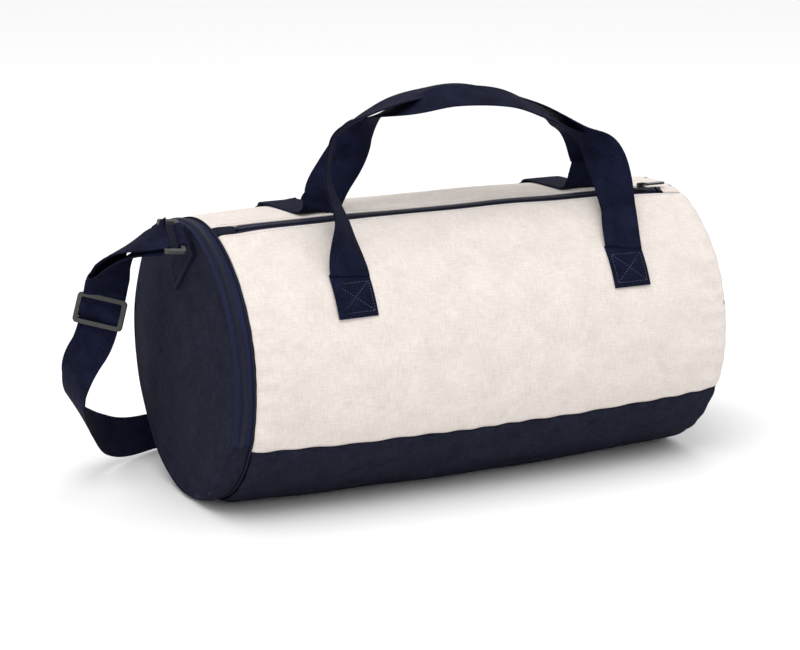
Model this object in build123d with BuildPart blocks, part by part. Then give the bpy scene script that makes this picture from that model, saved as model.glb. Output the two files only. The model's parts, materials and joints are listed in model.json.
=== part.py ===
"""Barrel weekender bag: canvas body, round zipped end pocket, two webbing handles and a shoulder strap.

Millimetres. X runs along the bag, Z is up, and the origin is under the middle of the bag on the
surface it stands on. The zipped end pocket is at -X. The bag rests slightly rolled towards -Y, so its
main zip lies in front of the crown.
"""
from build123d import *
from math import cos, pi, radians, sin, tan
import os

# ---- driving dimensions ----
bag_length = 500.0
axis_z = 128.0            # height of the barrel's axis
end_r = 127.0             # end panels and the pocket's gusset
body_r_end = 129.0        # cream body beside the ends
body_r_mid = 136.5        # cream body at mid length, where it bulges
crown_z = 254.0           # the crown sags flat at this height
wall = 2.0                # canvas with its seam allowance
gusset_width = 20.0       # width of the end pocket's zipped gusset

seam_front_deg = 116.0    # base seam, measured round the barrel from the crown towards the front
seam_rear_deg = 100.0     # the same towards the rear

zip_y = -36.0             # main zip's centre line
slot_width = 14.0         # gap between the cream panels over the zip
tape_width = 11.0
tape_thick = 0.8
coil_width = 4.0
coil_thick = 2.6
zip_open_x = -208.0       # the two ends of the main zip's coil
zip_closed_x = 224.0

webbing = 38.0            # handle and strap webbing
webbing_thick = 2.0
handle_mid_x = 8.0        # the handles are centred on the cream body
handle_half = 139.0       # from there to the middle of each sewn end
patch_arc_deg = 17.0      # sewn end, round the barrel
front_patch_deg = 52.5    # top edge of the sewn ends, front handle
rear_patch_deg = 23.5     # top edge of the sewn ends, rear handle

bar_r = 2.0               # ring wire radius
ring_height = 42.0        # between bar centre lines
ring_depth = 15.0
left_loop = Vector(-262.0, -36.0, 249.5)     # middle of the ring bar held by each tab
right_loop = Vector(258.4, 25.0, 200.0)
left_bar = Vector(0.16, 0.88, 0.45).normalized()     # direction of the ring bar in each tab
left_out = (Vector(-1, 0, 0) - left_bar * Vector(-1, 0, 0).dot(left_bar)).normalized()
right_bar = Vector(0, 0, 1)
right_out = Vector(1, 0, 0)
cord_r = 4.0              # round stand-in for the flat shoulder strap

adjuster_at = Vector(-313.0, 30.0, 173.0)    # strap centre line under the adjuster
adjuster_down = Vector(-0.30, -0.11, -0.94)  # strap direction there
adjuster_face = Vector(-0.542, -0.784, 0.266)

# ---- derived sizes ----
left_x = -bag_length / 2
right_x = bag_length / 2
body_x = left_x + gusset_width
far = 2 * bag_length      # larger than anything on the bag
axis_line = Axis((0, 0, axis_z), (1, 0, 0))
os.makedirs("parts", exist_ok=True)


def save(part, name):
    """Label a finished piece and write it as its own file."""
    part.label = name
    export_step(part, f"parts/{name}.step")


def body_radius(x):
    """Radius of the bulging cream body at x."""
    share = 1 - (x / right_x) ** 2
    return body_r_end + (body_r_mid - body_r_end) * share


def on_body(x, deg, lift=0.0):
    """Point on the body, deg from the crown towards the front, lift millimetres off the surface."""
    r = body_radius(x) + lift
    z = min(axis_z + r * cos(radians(deg)), crown_z + lift)
    return Vector(x, -r * sin(radians(deg)), z)


def barrel(grow, low_z, high_z):
    """Solid barrel, grow larger in radius than the cream body, cut flat at low_z and high_z."""
    with BuildPart() as solid:
        with BuildSketch(Plane.XZ):
            with BuildLine():
                a = (left_x, axis_z + body_r_end + grow)
                b = (0, axis_z + body_r_mid + grow)
                c = (right_x, axis_z + body_r_end + grow)
                ThreePointArc(a, b, c)
                Polyline(c, (right_x, axis_z), (left_x, axis_z), a)
            make_face()
        revolve(axis=axis_line)
        split(bisect_by=Plane.XY.offset(low_z), keep=Keep.TOP)
        split(bisect_by=Plane.XY.offset(high_z), keep=Keep.BOTTOM)
    return solid.part


def prism(points, x_low, x_high):
    """Solid of a Y, Z outline between two X stations."""
    with BuildPart() as solid:
        with BuildSketch(Plane.YZ.offset(x_low)):
            with BuildLine():
                Polyline(*points, close=True)
            make_face()
        extrude(amount=x_high - x_low)
    return solid.part


def ray(deg):
    """Y, Z point far out from the barrel's axis, deg from the crown towards the front."""
    return (-far * sin(radians(deg)), axis_z + far * cos(radians(deg)))


def wedge(start_deg, end_deg, x_low, x_high):
    """Prism of the sector from start_deg to end_deg, in steps no wider than a quarter turn."""
    steps = 4
    points = [(0, axis_z)]
    for i in range(steps + 1):
        points.append(ray(start_deg + (end_deg - start_deg) * i / steps))
    return prism(points, x_low, x_high)


def hoop(inner, outer, x_low, x_high):
    """Flat ring round the barrel's axis."""
    with BuildPart() as piece:
        with BuildSketch(Plane.YZ.offset(x_low)):
            with Locations((0, axis_z)):
                Circle(outer)
                Circle(inner, mode=Mode.SUBTRACT)
        extrude(amount=x_high - x_low)
    return piece.part


def hoop_sector(inner, outer, x_low, x_high, start_deg, end_deg):
    """Part of a flat ring round the barrel's axis."""
    with BuildPart() as piece:
        add(hoop(inner, outer, x_low, x_high))
        add(wedge(start_deg, end_deg, x_low - 1, x_high + 1), mode=Mode.INTERSECT)
    return piece.part


def disc(radius, x_low, x_high):
    """Round panel across the bag, flat where it meets the ground."""
    with BuildPart() as piece:
        with BuildSketch(Plane.YZ.offset(x_low)):
            with Locations((0, axis_z)):
                Circle(radius)
        extrude(amount=x_high - x_low)
        split(bisect_by=Plane.XY, keep=Keep.TOP)
    return piece.part


# ---- cream panels and base: one shell, cut along the zip slot and the base seams ----
outer_barrel = barrel(0, 0, crown_z)
inner_barrel = barrel(-wall, wall, crown_z - wall)
slot_front = zip_y - slot_width / 2
slot_rear = zip_y + slot_width / 2
panel_end = right_x - wall
front_cut = [(slot_front, axis_z), (slot_front, far), (-far, far), ray(seam_front_deg), (0, axis_z)]
rear_cut = [(slot_rear, axis_z), (slot_rear, far), (far, far), ray(-seam_rear_deg), (0, axis_z)]
base_cut = [(0, axis_z), ray(seam_front_deg), (-far, -far), (far, -far), ray(-seam_rear_deg)]
for panel_name, outline in (("front_panel", front_cut), ("rear_panel", rear_cut), ("base_panel", base_cut)):
    with BuildPart() as body_panel:
        add(outer_barrel)
        add(inner_barrel, mode=Mode.SUBTRACT)
        add(prism(outline, body_x, panel_end), mode=Mode.INTERSECT)
    save(body_panel.part, panel_name)

# ---- round panels ----
save(disc(end_r, left_x, left_x + wall), "left_end_panel")
with BuildPart() as right_end_panel:
    add(disc(body_r_end, right_x - wall, right_x))
    split(bisect_by=Plane.XY.offset(crown_z), keep=Keep.BOTTOM)
save(right_end_panel.part, "right_end_panel")
save(disc(end_r + 1, body_x - wall, body_x), "divider_panel")

# ---- seam bindings inside the two ends ----
binding_depth = 3.0
binding_width = 4.0
left_binding_r = end_r - 5
right_binding_r = end_r - 6
save(hoop(left_binding_r, left_binding_r + binding_depth, left_x + wall, left_x + wall + binding_width),
     "left_seam_binding")
save(hoop(right_binding_r, right_binding_r + binding_depth, panel_end - binding_width, panel_end),
     "right_seam_binding")

# ---- end pocket gusset: canvas below, zip over the top ----
gusset_low = left_x + wall
gusset_high = body_x - wall
end_coil_x = (gusset_low + gusset_high) / 2
gusset_skin = 1.6
save(hoop_sector(end_r - gusset_skin, end_r, gusset_low, gusset_high, seam_front_deg,
                 360 - seam_rear_deg), "end_gusset_lower")
save(hoop_sector(end_r - gusset_skin, end_r, gusset_low, end_coil_x - coil_width / 2, -seam_rear_deg,
                 seam_front_deg), "end_zip_tape_outer")
save(hoop_sector(end_r - gusset_skin, end_r, end_coil_x + coil_width / 2, gusset_high, -seam_rear_deg,
                 seam_front_deg), "end_zip_tape_inner")
save(hoop_sector(end_r - gusset_skin - 0.4, end_r + 0.6, end_coil_x - coil_width / 2,
                 end_coil_x + coil_width / 2, -seam_rear_deg, seam_front_deg), "end_zip_coil")

# ---- main zip under the slot ----
tape_top = crown_z - wall
tape_low_x = body_x + 2
tape_high_x = panel_end - binding_width
tape_length = tape_high_x - tape_low_x
tape_mid_x = (tape_high_x + tape_low_x) / 2
for side, tape_name in ((-1, "main_zip_tape_front"), (1, "main_zip_tape_rear")):
    tape_y = zip_y + side * (coil_width + tape_width) / 2
    with BuildPart() as tape:
        with Locations((tape_mid_x, tape_y, tape_top - tape_thick / 2)):
            Box(tape_length, tape_width, tape_thick)
        add(inner_barrel, mode=Mode.INTERSECT)
    save(tape.part, tape_name)

coil_mid_x = (zip_open_x + zip_closed_x) / 2
coil_mid_z = tape_top + 0.1
with BuildPart() as main_zip_coil:
    with Locations((coil_mid_x, zip_y, coil_mid_z)):
        Box(zip_closed_x - zip_open_x, coil_width, coil_thick)
save(main_zip_coil.part, "main_zip_coil")

stop_length = 4.0
with BuildPart() as main_zip_stops:
    with Locations((zip_open_x - stop_length / 2, zip_y, coil_mid_z + 0.3),
                   (zip_closed_x + stop_length / 2, zip_y, coil_mid_z + 0.3)):
        Box(stop_length, coil_width, coil_thick)
save(main_zip_stops.part, "main_zip_stops")

tab_gap = 0.1
tab_thick = 1.2
tab_low_x = zip_open_x - stop_length
tab_high_x = zip_closed_x + stop_length
for tab_name, x_low, x_high in (("zip_tab_left", body_x + 0.5, tab_low_x),
                                ("zip_tab_right", tab_high_x, panel_end - 0.5)):
    with BuildPart() as zip_tab:
        with Locations(((x_low + x_high) / 2, zip_y, tape_top + tab_gap + tab_thick / 2)):
            Box(x_high - x_low, slot_width - 0.4, tab_thick)
    save(zip_tab.part, tab_name)

# ---- main zip slider and pull, closed at the right end ----
slider_x = 205.0
slider_length = 14.0
slider_width = 9.0
slider_low = coil_mid_z + coil_thick / 2 + 0.3
plate_thick = 1.6
crown_height = 4.0
crown_hole_r = 1.3
pull_x = slider_x + 3.0
pull_z = slider_low + plate_thick + 2.0


def crown(mid, along, across, up):
    """Arch on a slider that holds the pull: a plate with a hole, mid at the middle of its foot."""
    with BuildPart() as arch:
        with BuildSketch(Plane(origin=mid + across * 0.8, x_dir=along, z_dir=across * -1)) as side_view:
            with Locations((0, 0)):
                Rectangle(8.0, crown_height, align=(Align.CENTER, Align.MIN))
            fillet(side_view.vertices().group_by(Axis(mid, up))[-1], 1.8)
            with Locations((0, 2.0)):
                Circle(crown_hole_r, mode=Mode.SUBTRACT)
        extrude(amount=1.6)
    return arch.part


def pull(pin, along, across):
    """Wire loop through a slider's crown with a flat grip, lying along the surface from pin."""
    up = along.cross(across)
    wire = 0.9
    loop_half = 2.6
    loop_length = 9.0
    grip_length = 19.0
    with BuildPart() as puller:
        with BuildSketch(Plane(origin=pin - up * wire, x_dir=along, z_dir=up)) as outline:
            with Locations((loop_length / 2 - wire, 0)):
                RectangleRounded(loop_length, 2 * loop_half + 2 * wire, 1.2)
            with Locations((loop_length / 2 - wire + 0.45, 0)):
                Rectangle(loop_length - 2.7, 2 * loop_half - 0.2, mode=Mode.SUBTRACT)
            with Locations((loop_length + grip_length / 2 - 2.0, 0)):
                RectangleRounded(grip_length, 5.6, 2.2)
        extrude(amount=2 * wire)
    return puller.part


with BuildPart() as main_slider:
    with Locations((slider_x, zip_y, slider_low + plate_thick / 2)):
        Box(slider_length, slider_width, plate_thick)
    fillet(main_slider.edges().filter_by(Axis.Z), 2.0)
    add(crown(Vector(pull_x - 1.0, zip_y, slider_low + plate_thick), Vector(1, 0, 0), Vector(0, 1, 0),
              Vector(0, 0, 1)))
save(main_slider.part, "main_slider")
save(pull(Vector(pull_x - 1.0, zip_y, pull_z), Vector(1, 0, 0), Vector(0, 1, 0)), "main_pull")

# ---- end zip slider and pull, closed low at the rear ----
end_rest_deg = -94.0
end_foot_r = end_r + 0.6 + 0.3
radial = Vector(0, -sin(radians(end_rest_deg)), cos(radians(end_rest_deg)))
tangent = Vector(0, cos(radians(end_rest_deg)), sin(radians(end_rest_deg)))
end_foot = Vector(end_coil_x, 0, axis_z) + radial * end_foot_r
end_down = tangent if tangent.Z < 0 else tangent * -1
with BuildPart() as end_slider:
    with BuildSketch(Plane(origin=end_foot, x_dir=end_down, z_dir=radial)):
        RectangleRounded(slider_length, slider_width, 2.0)
    extrude(amount=plate_thick)
    add(crown(end_foot + radial * plate_thick + end_down * 2.0, end_down, Vector(-1, 0, 0), radial))
save(end_slider.part, "end_slider")
end_pin = end_foot + radial * (plate_thick + 2.0) + end_down * 2.0
save(pull(end_pin, end_down, radial.cross(end_down)), "end_pull")

# ---- sewn handle ends: webbing patches on the body ----
patch_skin = barrel(webbing_thick + 0.1, 0, crown_z + webbing_thick)
patch_core = barrel(0.1, -1, crown_z + webbing_thick + 1)
patch_x = [handle_mid_x - handle_half, handle_mid_x + handle_half]
for patch_name, start, end in (
        ("front_handle_ends", front_patch_deg, front_patch_deg + patch_arc_deg),
        ("rear_handle_ends", -rear_patch_deg - patch_arc_deg, -rear_patch_deg)):
    with BuildPart() as handle_ends:
        add(patch_skin)
        add(patch_core, mode=Mode.SUBTRACT)
        add(wedge(start, end, patch_x[0] - webbing / 2, patch_x[1] + webbing / 2), mode=Mode.INTERSECT)
        with Locations((handle_mid_x, 0, axis_z)):
            Box(2 * handle_half - webbing, far, far, mode=Mode.SUBTRACT)
    save(handle_ends.part, patch_name)


# ---- handles: one webbing band each, flat on the body at its ends and across the bag at the top ----
def handle(stations, name):
    """Loft a webbing band through (point, direction, width direction) stations."""
    with BuildPart() as band:
        for point, direction, width in stations:
            with BuildSketch(Plane(origin=point, x_dir=width, z_dir=direction)):
                Rectangle(webbing, webbing_thick)
        loft(ruled=True)
    save(band.part, name)


def handle_stations(half_path, turn):
    """Stations of a whole handle from (x inset, y, z, twist degrees) points of its left leg.

    The band's width lies along X at twist 0 and along Y at twist 90. It turns towards the front when
    turn is -1 and towards the rear when turn is 1, which keeps its outer face outside.
    """
    places = []
    for inset, y, z, twist in half_path:
        places.append((Vector(handle_mid_x - handle_half + inset, y, z), twist))
    for inset, y, z, twist in reversed(half_path[:-1]):
        places.append((Vector(handle_mid_x + handle_half - inset, y, z), 180 - twist))
    stations = []
    for i, (point, twist) in enumerate(places):
        before = places[max(i - 1, 0)][0]
        after = places[min(i + 1, len(places) - 1)][0]
        direction = (after - before).normalized()
        width = Vector(cos(radians(twist)), turn * sin(radians(twist)), 0)
        width = (width - direction * width.dot(direction)).normalized()
        stations.append((point, direction, width))
    return stations


hinge_gap_deg = 0.9       # clear gap between a sewn end and the band that folds beside it
lift = 2.2                # band centre above the surface
foot_lift = 3.8           # the same at the foot, which clears the sewn end when the band folds over it
front_foot = on_body(patch_x[0], front_patch_deg - hinge_gap_deg, foot_lift)
front_low = on_body(patch_x[0], front_patch_deg - 8, lift)
front_mid = on_body(patch_x[0], front_patch_deg - 18, lift + 1.5)
front_path = [
    (0, front_foot.Y, front_foot.Z, 0),
    (0, front_low.Y, front_low.Z, 0),
    (1, front_mid.Y, front_mid.Z, 8),
    (6, -62, 268, 35),
    (16, -50, 296, 65),
    (36, -36, 326, 84),
    (66, -24, 349, 90),
    (102, -17, 361, 90),
    (handle_half, -15, 365, 90),
]
rear_foot = on_body(patch_x[0], -rear_patch_deg + hinge_gap_deg, foot_lift)
rear_path = [
    (0, rear_foot.Y, rear_foot.Z, 0),
    (0, 47, crown_z + lift, 0),
    (0, 16, crown_z + lift + 0.5, 0),
    (4, -1, 262, 10),
    (18, -6, 288, 50),
    (42, -8, 319, 80),
    (71, -11, 342, 90),
    (105, -14, 354.5, 90),
    (handle_half, -15, 359.5, 90),
]
handle(handle_stations(front_path, -1), "front_handle")
handle(handle_stations(rear_path, 1), "rear_handle")

# ---- strap tabs: a sewn webbing patch on each end, and the loop that holds the ring ----
tab_width = 32.0
tab_length = 56.0
loop_outer = 4.4
loop_inner = 2.5
loop_length = 30.0
for tab_side, loop_mid, face_x, tab_mid, bar_dir, out_dir in (
        ("left", left_loop, left_x, (-13.0, 225.0), left_bar, left_out),
        ("right", right_loop, right_x, (45.0, 184.0), right_bar, right_out)):
    outward = -1 if face_x < 0 else 1
    with BuildPart() as strap_tab:
        with BuildSketch(Plane.YZ.offset(face_x)):
            with Locations(Location((tab_mid[0], tab_mid[1]), 135.0)):
                Rectangle(tab_length, tab_width)
        extrude(amount=outward * webbing_thick)
    save(strap_tab.part, f"{tab_side}_tab")
    with BuildPart() as tab_loop:
        with BuildSketch(Plane(origin=loop_mid, x_dir=out_dir, z_dir=bar_dir)):
            Circle(loop_outer)
            Circle(loop_inner, mode=Mode.SUBTRACT)
        extrude(amount=loop_length / 2, both=True)
    save(tab_loop.part, f"{tab_side}_tab_loop")
    ring_mid = loop_mid + out_dir * ring_depth / 2
    ring_face = out_dir.cross(bar_dir)
    with BuildPart() as ring:
        with BuildSketch(Plane(origin=ring_mid, x_dir=out_dir, z_dir=ring_face)):
            RectangleRounded(ring_depth + 2 * bar_r, ring_height + 2 * bar_r, 2.5)
            RectangleRounded(ring_depth - 2 * bar_r, ring_height - 2 * bar_r, 1.0, mode=Mode.SUBTRACT)
        extrude(amount=bar_r, both=True)
        through = Axis(tuple(ring_mid), tuple(ring_face))
        fillet(ring.edges().group_by(through)[0], 0.8)
        fillet(ring.edges().group_by(through)[-1], 0.8)
    save(ring.part, f"{tab_side}_ring")

# ---- shoulder strap: from the left ring, down through the adjuster, behind the bag, to the right ring ----
run_at_adjuster = 26.0
strap_route = [
    left_loop + left_out * (ring_depth + bar_r + 2.5),
    Vector(-289, -22, 247),
    Vector(-297, -12, 242),
    Vector(-308, 3, 232),
    Vector(-310, 19, 219),
    adjuster_at - adjuster_down * run_at_adjuster,
    adjuster_at + adjuster_down * run_at_adjuster,
    Vector(-334, 33, 128),
    Vector(-337, 46, 104),
    Vector(-331, 62, 80),
    Vector(-311, 86, 55),
    Vector(-287, 110, 33),
    Vector(-260, 130, 21.5),
    Vector(-226, 146, 20),
    Vector(-180, 160, 20.5),
    Vector(-110, 168, 20.5),
    Vector(-15, 171, 20),
    Vector(85, 167, 20.5),
    Vector(165, 159, 20),
    Vector(225, 146, 22),
    Vector(268, 124, 34),
    Vector(289, 97, 64),
    Vector(299, 70, 104),
    Vector(304, 53, 138),
    Vector(304, 41, 168),
    Vector(297, 31, 190),
    right_loop + right_out * (ring_depth + bar_r + 3.5),
]


def corner_radii(points):
    """Radius of the arc at each inner point, as large as its two runs allow."""
    radii = []
    for before, here, after in zip(points, points[1:], points[2:]):
        turn = radians((here - before).get_angle(after - here))
        shorter = min((here - before).length, (after - here).length)
        radii.append(0.45 * shorter / tan(turn / 2))
    return radii


strap_radii = corner_radii(strap_route)
with BuildPart() as shoulder_strap:
    with BuildLine() as strap_line:
        FilletPolyline(*strap_route, radius=strap_radii)
    with BuildSketch(Plane(origin=strap_route[0], z_dir=strap_route[1] - strap_route[0])):
        Circle(cord_r)
    sweep()
strap_length = strap_line.wire().length
save(shoulder_strap.part, "shoulder_strap")
print("strap length", round(strap_length, 1))
print("strap radii", [round(r) for r in strap_radii])
print("strap volume ratio", shoulder_strap.part.volume / (pi * cord_r ** 2 * strap_length))

# ---- adjuster: three-bar slide on the face of the strap ----
adjuster_across = 46.0
adjuster_along = 28.0
adjuster_thick = 3.6
adjuster_slot = 8.0
adjuster_bar = 4.0
adjuster_mid = adjuster_at + adjuster_face * (cord_r + adjuster_thick / 2 + 0.5)
adjuster_plane = Plane(origin=adjuster_mid, x_dir=adjuster_down.cross(adjuster_face), z_dir=adjuster_face)
with BuildPart() as strap_adjuster:
    with BuildSketch(adjuster_plane):
        RectangleRounded(adjuster_across, adjuster_along, 4.0)
        with GridLocations(0, adjuster_slot + adjuster_bar, 1, 2):
            RectangleRounded(webbing, adjuster_slot, 1.5, mode=Mode.SUBTRACT)
    extrude(amount=adjuster_thick / 2, both=True)
save(strap_adjuster.part, "strap_adjuster")
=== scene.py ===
"""Looks of the barrel weekender bag: canvas, webbing, zips, strap and hardware round the CAD frame.

Metres. X runs along the bag, Z is up, and the bag stands on z = 0. Angles round the barrel are in
degrees from its crown, positive towards the front (-Y).
"""
import json
import math

import bpy
import numpy as np
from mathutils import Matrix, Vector


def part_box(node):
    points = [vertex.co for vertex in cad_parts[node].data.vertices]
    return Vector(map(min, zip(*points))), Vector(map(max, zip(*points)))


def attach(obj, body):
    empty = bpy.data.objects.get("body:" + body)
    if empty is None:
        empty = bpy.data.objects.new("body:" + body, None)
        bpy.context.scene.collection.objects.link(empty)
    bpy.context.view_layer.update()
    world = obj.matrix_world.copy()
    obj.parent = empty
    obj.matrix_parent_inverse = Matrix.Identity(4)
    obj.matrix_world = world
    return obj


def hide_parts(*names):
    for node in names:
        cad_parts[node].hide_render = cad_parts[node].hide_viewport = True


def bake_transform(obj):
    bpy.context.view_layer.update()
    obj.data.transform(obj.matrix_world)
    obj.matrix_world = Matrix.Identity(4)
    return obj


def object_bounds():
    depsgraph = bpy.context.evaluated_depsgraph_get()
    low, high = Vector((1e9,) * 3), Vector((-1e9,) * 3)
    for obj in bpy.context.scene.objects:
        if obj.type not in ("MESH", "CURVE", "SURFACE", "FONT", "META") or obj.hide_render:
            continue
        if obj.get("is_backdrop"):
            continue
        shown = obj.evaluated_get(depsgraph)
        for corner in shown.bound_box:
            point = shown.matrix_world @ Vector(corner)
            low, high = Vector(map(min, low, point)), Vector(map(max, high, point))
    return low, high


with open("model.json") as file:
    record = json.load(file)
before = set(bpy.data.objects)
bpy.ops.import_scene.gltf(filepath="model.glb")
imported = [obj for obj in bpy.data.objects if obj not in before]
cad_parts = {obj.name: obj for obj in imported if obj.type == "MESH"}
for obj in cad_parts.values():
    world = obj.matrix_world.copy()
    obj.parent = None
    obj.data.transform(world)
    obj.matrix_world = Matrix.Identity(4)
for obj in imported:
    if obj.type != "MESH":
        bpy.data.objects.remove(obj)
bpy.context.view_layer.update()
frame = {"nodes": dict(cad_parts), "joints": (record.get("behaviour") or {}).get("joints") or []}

# ---- sizes from the frame ----
left_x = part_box("left_end_panel")[0][0]
right_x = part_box("right_end_panel")[1][0]
body_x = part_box("front_panel")[0][0]
end_r = (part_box("left_end_panel")[1][1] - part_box("left_end_panel")[0][1]) / 2
axis_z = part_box("left_end_panel")[1][2] - end_r
body_r_end = (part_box("right_end_panel")[1][1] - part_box("right_end_panel")[0][1]) / 2
body_r_mid = -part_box("front_panel")[0][1]
crown_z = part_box("rear_panel")[1][2]
zip_low, zip_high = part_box("main_zip_coil")
zip_y = (zip_low[1] + zip_high[1]) / 2
end_coil_low, end_coil_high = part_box("end_zip_coil")
webbing = 0.038
webbing_thick = 0.002
seam_front_deg = 116.0
seam_rear_deg = -100.0
slot_width = 0.014
zip_margin = {1: 0.003, -1: 0.0015}     # how far each cream cloth stops short of the zip slot's edge
canvas_thick = 0.0012
patch_arc_deg = 17.0
front_patch_deg = 52.5
rear_patch_deg = 23.5
ends_low, ends_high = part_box("front_handle_ends")
leg_x = (ends_low[0] + webbing / 2, ends_high[0] - webbing / 2)
handle_mid_x = sum(leg_x) / 2


# ---- materials ----
class Shader:
    """A material's node tree, with short calls to add and link nodes."""

    def __init__(self, name, **settings):
        self.material = bpy.data.materials.new(name)
        self.material.use_nodes = True
        self.tree = self.material.node_tree
        self.out = self.tree.nodes["Principled BSDF"]
        for socket, value in settings.items():
            self.out.inputs[socket.replace("_", " ")].default_value = value

    def add(self, kind, inputs=(), **settings):
        node = self.tree.nodes.new("ShaderNode" + kind)
        for key, value in settings.items():
            setattr(node, key, value)
        for key, value in dict(inputs).items():
            if isinstance(value, bpy.types.NodeSocket):
                self.tree.links.new(value, node.inputs[key])
            else:
                node.inputs[key].default_value = value
        return node

    def math(self, operation, a, b=0.0):
        return self.add("Math", {0: a, 1: b}, operation=operation).outputs[0]

    def cloth(self):
        """Place on the cloth: metres across and along it."""
        return self.add("Attribute", attribute_name="cloth").outputs["Vector"]

    def scaled(self, vector, x, y, z=1.0):
        node = self.add("VectorMath", {0: vector, 1: (x, y, z)}, operation="MULTIPLY")
        return node.outputs[0]

    def noise(self, vector, scale, detail=2.0, roughness=0.5):
        inputs = {"Vector": vector, "Scale": scale, "Detail": detail, "Roughness": roughness}
        return self.add("TexNoise", inputs).outputs["Fac"]

    def ramp(self, fac, low, high, colour_low, colour_high):
        node = self.add("ValToRGB", {"Fac": fac})
        node.color_ramp.elements[0].position = low
        node.color_ramp.elements[0].color = (*colour_low, 1)
        node.color_ramp.elements[1].position = high
        node.color_ramp.elements[1].color = (*colour_high, 1)
        return node.outputs["Color"]

    def mix(self, fac, a, b, blend="MIX"):
        node = self.add("Mix", data_type="RGBA", blend_type=blend)
        for key, value in ((0, fac), (6, a), (7, b)):
            if isinstance(value, bpy.types.NodeSocket):
                self.tree.links.new(value, node.inputs[key])
            else:
                node.inputs[key].default_value = value if key == 0 else (*value, 1)
        return node.outputs[2]

    def colour(self, socket):
        self.tree.links.new(socket, self.out.inputs["Base Color"])

    def bump(self, height, distance, strength=1.0):
        """Raise the surface by height times distance, on top of what was raised before."""
        inputs = {"Height": height, "Distance": distance, "Strength": strength}
        if self.out.inputs["Normal"].is_linked:
            inputs["Normal"] = self.out.inputs["Normal"].links[0].from_socket
        node = self.add("Bump", inputs)
        self.tree.links.new(node.outputs["Normal"], self.out.inputs["Normal"])


def yarns(shader, pitch, twill=0.0):
    """Height of a weave with that yarn pitch. twill shifts each row against the last."""
    split = shader.add("SeparateXYZ", {0: shader.cloth()})
    turn = 2 * math.pi / pitch
    across = shader.math("MULTIPLY", split.outputs[0], turn)
    along = shader.math("MULTIPLY", split.outputs[1], turn)
    if twill:
        across = shader.math("ADD", across, shader.math("MULTIPLY", along, twill))
    over = shader.math("MULTIPLY", shader.math("SINE", across), shader.math("SINE", along))
    return shader.math("MULTIPLY_ADD", over, 0.5)


def canvas(name, light, dark, speck, pitch=0.0011):
    """Plain-woven cotton canvas with slubby yarns, faint mottling and loose specks."""
    shader = Shader(name, Roughness=0.92)
    shader.out.inputs["Specular IOR Level"].default_value = 0.03
    cloth = shader.cloth()
    weave = yarns(shader, pitch)
    warp = shader.noise(shader.scaled(cloth, 900, 90), 1.0, 3.0, 0.6)
    weft = shader.noise(shader.scaled(cloth, 90, 900), 1.0, 3.0, 0.6)
    slubs = shader.math("MULTIPLY", shader.math("ADD", warp, weft), 0.5)
    mottle = shader.noise(cloth, 38.0, 4.0, 0.65)
    tone = shader.math("ADD", shader.math("MULTIPLY", slubs, 0.7), shader.math("MULTIPLY", mottle, 0.3))
    base = shader.ramp(tone, 0.36, 0.62, dark, light)
    flecks = shader.noise(shader.scaled(cloth, 420, 260), 1.0, 2.0, 0.7)
    fleck_share = shader.add("MapRange", {0: flecks, 1: 0.68, 2: 0.76, 3: 0.0, 4: 0.55}).outputs[0]
    base = shader.mix(fleck_share, base, speck)
    # the weave's hollows are painted darker and its crowns a little lighter: painted shade and light between
    # the yarns
    shade = shader.add("MapRange", {0: weave, 1: -0.5, 2: 0.5, 3: 0.93, 4: 1.03}).outputs[0]
    grey = shader.add("CombineColor", {0: shade, 1: shade, 2: shade}).outputs[0]
    shader.colour(shader.mix(1.0, base, grey, "MULTIPLY"))
    shader.bump(weave, 0.00025)
    shader.bump(slubs, 0.0006, 0.6)
    return shader.material


def webbing_cloth(name, light, dark, pitch=0.0018):
    """Cotton webbing: a tight diagonal weave."""
    shader = Shader(name, Roughness=0.8)
    shader.out.inputs["Specular IOR Level"].default_value = 0.06
    weave = yarns(shader, pitch, twill=1.0)
    fine = shader.noise(shader.scaled(shader.cloth(), 750, 520), 1.0, 3.0, 0.7)
    cover = shader.noise(shader.cloth(), 60.0, 3.0)
    # the weave's raised yarns are painted lighter and its hollows darker: painted light and shade, mixed with
    # random tone
    tone = shader.math("ADD", shader.math("MULTIPLY", fine, 0.55), shader.math("MULTIPLY", weave, 0.22))
    tone = shader.math("ADD", tone, shader.math("MULTIPLY", cover, 0.35))
    shader.colour(shader.ramp(tone, 0.40, 0.66, dark, light))
    shader.bump(weave, 0.0004)
    shader.bump(fine, 0.0003, 0.6)
    return shader.material


def tape_cloth(name, light, dark):
    """Zip tape: fine ribs along its length."""
    shader = Shader(name, Roughness=0.72)
    shader.out.inputs["Specular IOR Level"].default_value = 0.08
    split = shader.add("SeparateXYZ", {0: shader.cloth()})
    ribs = shader.math("SINE", shader.math("MULTIPLY", split.outputs[0], 2 * math.pi / 0.0011))
    fine = shader.noise(shader.scaled(shader.cloth(), 900, 1600), 1.0, 2.0)
    # the ribs' crowns are painted lighter and their hollows darker: painted light and shade, mixed with
    # random tone
    tone = shader.math("ADD", fine, shader.math("MULTIPLY", ribs, 0.08))
    shader.colour(shader.ramp(tone, 0.3, 0.7, dark, light))
    shader.bump(ribs, 0.00015)
    shader.bump(fine, 0.0002, 0.7)
    return shader.material


def object_noise(shader, scale, detail=3.0):
    """Noise fixed to the piece itself, for pieces with no cloth directions."""
    place = shader.add("TexCoord").outputs["Object"]
    return shader.noise(place, scale, detail, 0.6)


def thread(name, colour):
    """Sewing thread: a short twisted strand."""
    shader = Shader(name, Roughness=0.6)
    fine = object_noise(shader, 2500.0)
    shader.colour(shader.ramp(fine, 0.3, 0.7, tuple(0.8 * c for c in colour), colour))
    shader.bump(fine, 0.0001)
    return shader.material


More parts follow.
